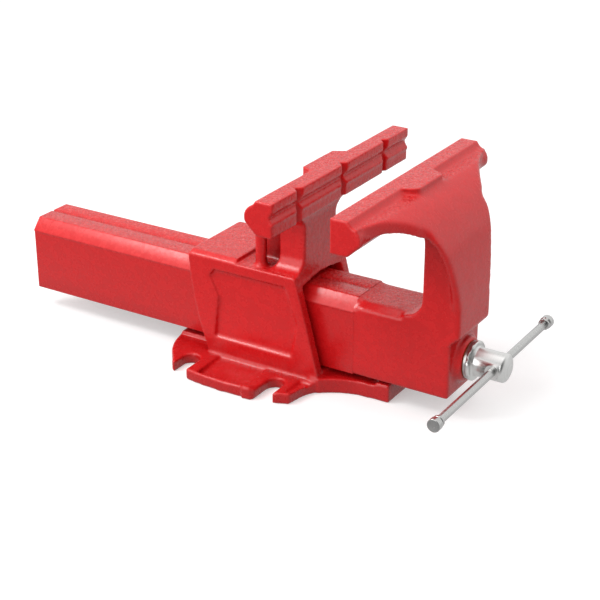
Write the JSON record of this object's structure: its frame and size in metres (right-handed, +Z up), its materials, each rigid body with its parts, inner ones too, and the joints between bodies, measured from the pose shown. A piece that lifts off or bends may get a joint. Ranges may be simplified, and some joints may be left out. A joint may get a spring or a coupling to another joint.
{
  "type": "bench vise",
  "caption": "Bench vise with a fixed jaw body on a slotted base, a sliding jaw on a long prismatic beam, and a screw turned by a sliding bar.",
  "frame": {"origin": "on the base's underside, midway between the four bolt slots and in the middle of the jaws' width", "axes": "+X along the beam and the screw towards the bar, +Y along the jaws, +Z up from the bench"},
  "size_m": [0.4301, 0.204, 0.1745],
  "materials": {
    "red_enamel": "gloss enamel over a rough casting",
    "bright_zinc": "bright zinc",
    "tool_steel": "turned",
    "nut_iron": "machined casting",
    "bronze": "turned"
  },
  "bodies": {
    "fixed": {"body": "red_enamel", "spindle_nut": "nut_iron", "nut_screws": "tool_steel", "nut_washers": "tool_steel", "nut_dowels": "tool_steel"},
    "slider": {"sliding_jaw": "red_enamel", "front_bush": "bronze"},
    "screw": {"spindle": "bright_zinc", "thrust_washer": "tool_steel", "collar": "tool_steel", "collar_pin": "tool_steel", "spring_washer": "tool_steel", "take_up_spring": "tool_steel"},
    "bar": {"tommy_bar": "bright_zinc", "bar_knob_near": "bright_zinc", "bar_knob_far": "bright_zinc"}
  },
  "joints": [
    {"name": "jaw_slide", "type": "slide", "parent": "fixed", "child": "slider", "axis": [1, 0, 0], "range_m": [-0.046, 0.154]},
    {"name": "spindle_turn", "type": "hinge", "parent": "slider", "child": "screw", "pos_m": [0.171, 0, 0.042], "axis": [1, 0, 0], "range_deg": [-4141, 13861]},
    {"name": "bar_slide", "type": "slide", "parent": "screw", "child": "bar", "axis": [0, 1, 0], "range_m": [-0.0715, 0.0835]}
  ],
  "couplings": [
    {"joint": "spindle_turn", "follows": "jaw_slide", "rad_per_m": 1570.8}
  ]
}
